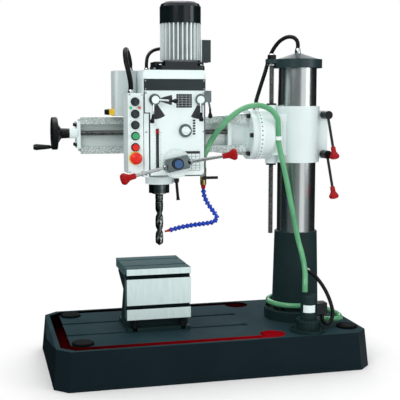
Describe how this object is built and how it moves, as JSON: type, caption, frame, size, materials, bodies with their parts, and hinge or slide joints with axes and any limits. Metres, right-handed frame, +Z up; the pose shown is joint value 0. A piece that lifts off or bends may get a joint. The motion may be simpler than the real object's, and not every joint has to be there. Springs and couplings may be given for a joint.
{
  "type": "radial arm drill",
  "caption": "Radial arm drill: slotted floor base with box table, column, lifting and swivelling arm, travelling drill head with quill, spindle, motor and push-button box.",
  "frame": {"origin": "centre of the base's footprint on the floor", "axes": "+X from the free end of the arm towards the column, +Y away from the operator, +Z up"},
  "size_m": [1.181, 0.612, 1.304],
  "materials": {
    "base_paint": "semi-gloss slate paint",
    "cap_rubber": "black rubber",
    "red_paint": "gloss red paint",
    "dark_paint": "semi-gloss dark paint",
    "column_chrome": "ground hard chrome",
    "steel": "ground steel",
    "dark_steel": "blackened steel",
    "pump_paint": "dark paint on light alloy",
    "cable_rubber": "black cable jacket",
    "green_hose": "green clear hose",
    "table_iron": "machined faces, painted sides",
    "white_paint": "gloss off-white paint",
    "white_sheet": "off-white sheet metal",
    "scale_white": "white graduated band",
    "black_plastic": "black moulding",
    "red_plastic": "red moulding",
    "green_plastic": "green moulding",
    "blue_plastic": "blue moulding",
    "motor_alloy": "finned light alloy",
    "cowl_black": "black pressed sheet",
    "grey_sheet": "grey sheet metal",
    "brass": "turned brass",
    "lever_mix": "dark hub, bright rods, red knobs"
  },
  "bodies": {
    "base": {"base_casting": "base_paint", "anchor_caps": "cap_rubber", "drain_strainers": "red_paint", "pedestal": "dark_paint", "column": "column_chrome", "thrust_bearing": "steel", "coolant_pump": "pump_paint", "pump_cable": "cable_rubber", "drain_hose": "green_hose", "coolant_hose": "green_hose"},
    "table": {"box_table": "table_iron", "table_bolts": "dark_steel"},
    "swing": {"column_cap": "dark_paint", "lift_screw": "steel", "supply_cable": "cable_rubber"},
    "sleeve": {"arm_sleeve": "white_paint", "degree_ring": "scale_white", "sleeve_fittings": "column_chrome"},
    "nut": {"lift_nut": "dark_steel"},
    "upper_clamp": {"upper_clamp_lever": "lever_mix"},
    "lower_clamp": {"lower_clamp_lever": "lever_mix"},
    "arm": {"arm_beam": "white_paint", "swivel_bolts": "dark_steel", "end_plate": "white_sheet"},
    "traverse_drive": {"traverse_screw": "steel", "traverse_handwheel": "black_plastic"},
    "head": {"head_casting": "white_paint", "top_cover": "white_sheet", "front_panel": "white_sheet", "traverse_nut": "brass", "quill_collar": "white_sheet", "motor_body": "motor_alloy", "motor_cowl": "cowl_black", "motor_cable": "cable_rubber", "control_box": "white_sheet", "electrical_box": "grey_sheet", "conduit_glands": "column_chrome", "conduit": "cable_rubber", "coolant_tap": "brass", "coolant_line": "blue_plastic"},
    "speed_upper": {"speed_lever_upper": "steel"},
    "speed_lower": {"speed_lever_lower": "steel"},
    "range_select": {"range_lever": "steel"},
    "side_select": {"side_lever": "steel"},
    "feed_select": {"feed_selector": "steel"},
    "mode_select": {"mode_selector": "black_plastic"},
    "raise": {"raise_button": "black_plastic"},
    "lower": {"lower_button": "black_plastic"},
    "start": {"start_button": "green_plastic"},
    "stop": {"stop_button": "red_plastic"},
    "emergency": {"emergency_button": "red_plastic"},
    "power": {"main_switch": "black_plastic"},
    "tap": {"tap_handle": "black_plastic"},
    "quill_lock": {"quill_lock_lever": "dark_steel"},
    "feed": {"feed_hub": "lever_mix"},
    "quill": {"quill": "steel", "spindle_bearings": "steel"},
    "spindle": {"spindle": "steel"},
    "drive_gear": {"spindle_gear": "steel"},
    "drive_pinion": {"motor_pinion": "steel"}
  },
  "joints": [
    {"name": "table_slide", "type": "slide", "parent": "base", "child": "table", "axis": [1, 0, 0], "range_m": [-0.2, 0.2]},
    {"name": "arm_swing", "type": "hinge", "parent": "base", "child": "swing", "pos_m": [0.379, 0, 1.1], "axis": [0, 0, 1], "range_deg": [-170, 170], "deforming": ["coolant_hose"]},
    {"name": "arm_lift", "type": "slide", "parent": "swing", "child": "sleeve", "axis": [0, 0, 1], "range_m": [-0.25, 0.13], "deforming": ["coolant_hose", "supply_cable"]},
    {"name": "nut_turn", "type": "hinge", "parent": "sleeve", "child": "nut", "pos_m": [0.277, 0, 0.84], "axis": [0, 0, 1], "continuous": true},
    {"name": "upper_clamp_turn", "type": "hinge", "parent": "sleeve", "child": "upper_clamp", "pos_m": [0.475, -0.05, 0.912], "axis": [0, -1, 0], "range_deg": [0, 60]},
    {"name": "lower_clamp_turn", "type": "hinge", "parent": "sleeve", "child": "lower_clamp", "pos_m": [0.475, -0.05, 0.764], "axis": [0, -1, 0], "range_deg": [0, 60]},
    {"name": "arm_tilt", "type": "hinge", "parent": "sleeve", "child": "arm", "pos_m": [0.2, 0, 0.84], "axis": [1, 0, 0], "range_deg": [-90, 90], "deforming": ["coolant_hose"]},
    {"name": "head_traverse", "type": "slide", "parent": "arm", "child": "head", "axis": [1, 0, 0], "range_m": [-0.18, 0.19], "deforming": ["coolant_hose"]},
    {"name": "traverse_turn", "type": "hinge", "parent": "arm", "child": "traverse_drive", "pos_m": [-0.4, -0.047, 0.852], "axis": [1, 0, 0], "continuous": true},
    {"name": "speed_upper_turn", "type": "hinge", "parent": "head", "child": "speed_upper", "pos_m": [-0.215, -0.23, 0.969], "axis": [0, -1, 0], "range_deg": [-40, 40]},
    {"name": "speed_lower_turn", "type": "hinge", "parent": "head", "child": "speed_lower", "pos_m": [-0.215, -0.225, 0.969], "axis": [0, -1, 0], "range_deg": [-8, 40]},
    {"name": "range_turn", "type": "hinge", "parent": "head", "child": "range_select", "pos_m": [-0.055, -0.225, 0.969], "axis": [0, -1, 0], "range_deg": [-35, 35]},
    {"name": "side_turn", "type": "hinge", "parent": "head", "child": "side_select", "pos_m": [-0.034, -0.16, 0.98], "axis": [1, 0, 0], "range_deg": [-25, 25]},
    {"name": "feed_select_turn", "type": "hinge", "parent": "head", "child": "feed_select", "pos_m": [-0.108, -0.225, 0.864], "axis": [0, -1, 0], "range_deg": [-90, 90]},
    {"name": "mode_turn", "type": "hinge", "parent": "head", "child": "mode_select", "pos_m": [-0.28, -0.225, 0.962], "axis": [0, -1, 0], "range_deg": [-45, 45]},
    {"name": "raise_press", "type": "slide", "parent": "head", "child": "raise", "axis": [0, 1, 0], "range_m": [0, 0.004], "stiffness_N_per_m": 400},
    {"name": "lower_press", "type": "slide", "parent": "head", "child": "lower", "axis": [0, 1, 0], "range_m": [0, 0.004], "stiffness_N_per_m": 400},
    {"name": "start_press", "type": "slide", "parent": "head", "child": "start", "axis": [0, 1, 0], "range_m": [0, 0.004], "stiffness_N_per_m": 400},
    {"name": "stop_press", "type": "slide", "parent": "head", "child": "stop", "axis": [0, 1, 0], "range_m": [0, 0.004], "stiffness_N_per_m": 400},
    {"name": "emergency_press", "type": "slide", "parent": "head", "child": "emergency", "axis": [0, 1, 0], "range_m": [0, 0.005], "stiffness_N_per_m": 400},
    {"name": "power_turn", "type": "hinge", "parent": "head", "child": "power", "pos_m": [-0.349, -0.076, 0.926], "axis": [1, 0, 0], "range_deg": [0, 90]},
    {"name": "tap_turn", "type": "hinge", "parent": "head", "child": "tap", "pos_m": [-0.02, -0.143, 0.694], "axis": [0, 1, 0], "range_deg": [0, 90]},
    {"name": "quill_lock_turn", "type": "hinge", "parent": "head", "child": "quill_lock", "pos_m": [-0.126, -0.16, 0.6895], "axis": [0, -1, 0], "range_deg": [0, 60]},
    {"name": "quill_feed", "type": "slide", "parent": "head", "child": "quill", "axis": [0, 0, -1], "range_m": [0, 0.125]},
    {"name": "feed_turn", "type": "hinge", "parent": "head", "child": "feed", "pos_m": [-0.139, -0.24, 0.752], "axis": [0, -1, 0], "range_deg": [0, 600]},
    {"name": "spindle_spin", "type": "hinge", "parent": "quill", "child": "spindle", "pos_m": [-0.183, -0.14, 0.7], "axis": [0, 0, 1], "continuous": true},
    {"name": "drive_gear_spin", "type": "hinge", "parent": "head", "child": "drive_gear", "pos_m": [-0.183, -0.14, 0.995], "axis": [0, 0, 1], "continuous": true},
    {"name": "drive_pinion_spin", "type": "hinge", "parent": "head", "child": "drive_pinion", "pos_m": [-0.105, -0.14, 0.995], "axis": [0, 0, 1], "continuous": true}
  ],
  "couplings": [
    {"joint": "nut_turn", "follows": "arm_lift", "rad_per_m": 1047.2},
    {"joint": "traverse_turn", "follows": "head_traverse", "rad_per_m": 314.16},
    {"joint": "feed_turn", "follows": "quill_feed", "rad_per_m": 83.333},
    {"joint": "drive_gear_spin", "follows": "spindle_spin", "ratio": 1},
    {"joint": "drive_pinion_spin", "follows": "spindle_spin", "ratio": -1.8889}
  ]
}
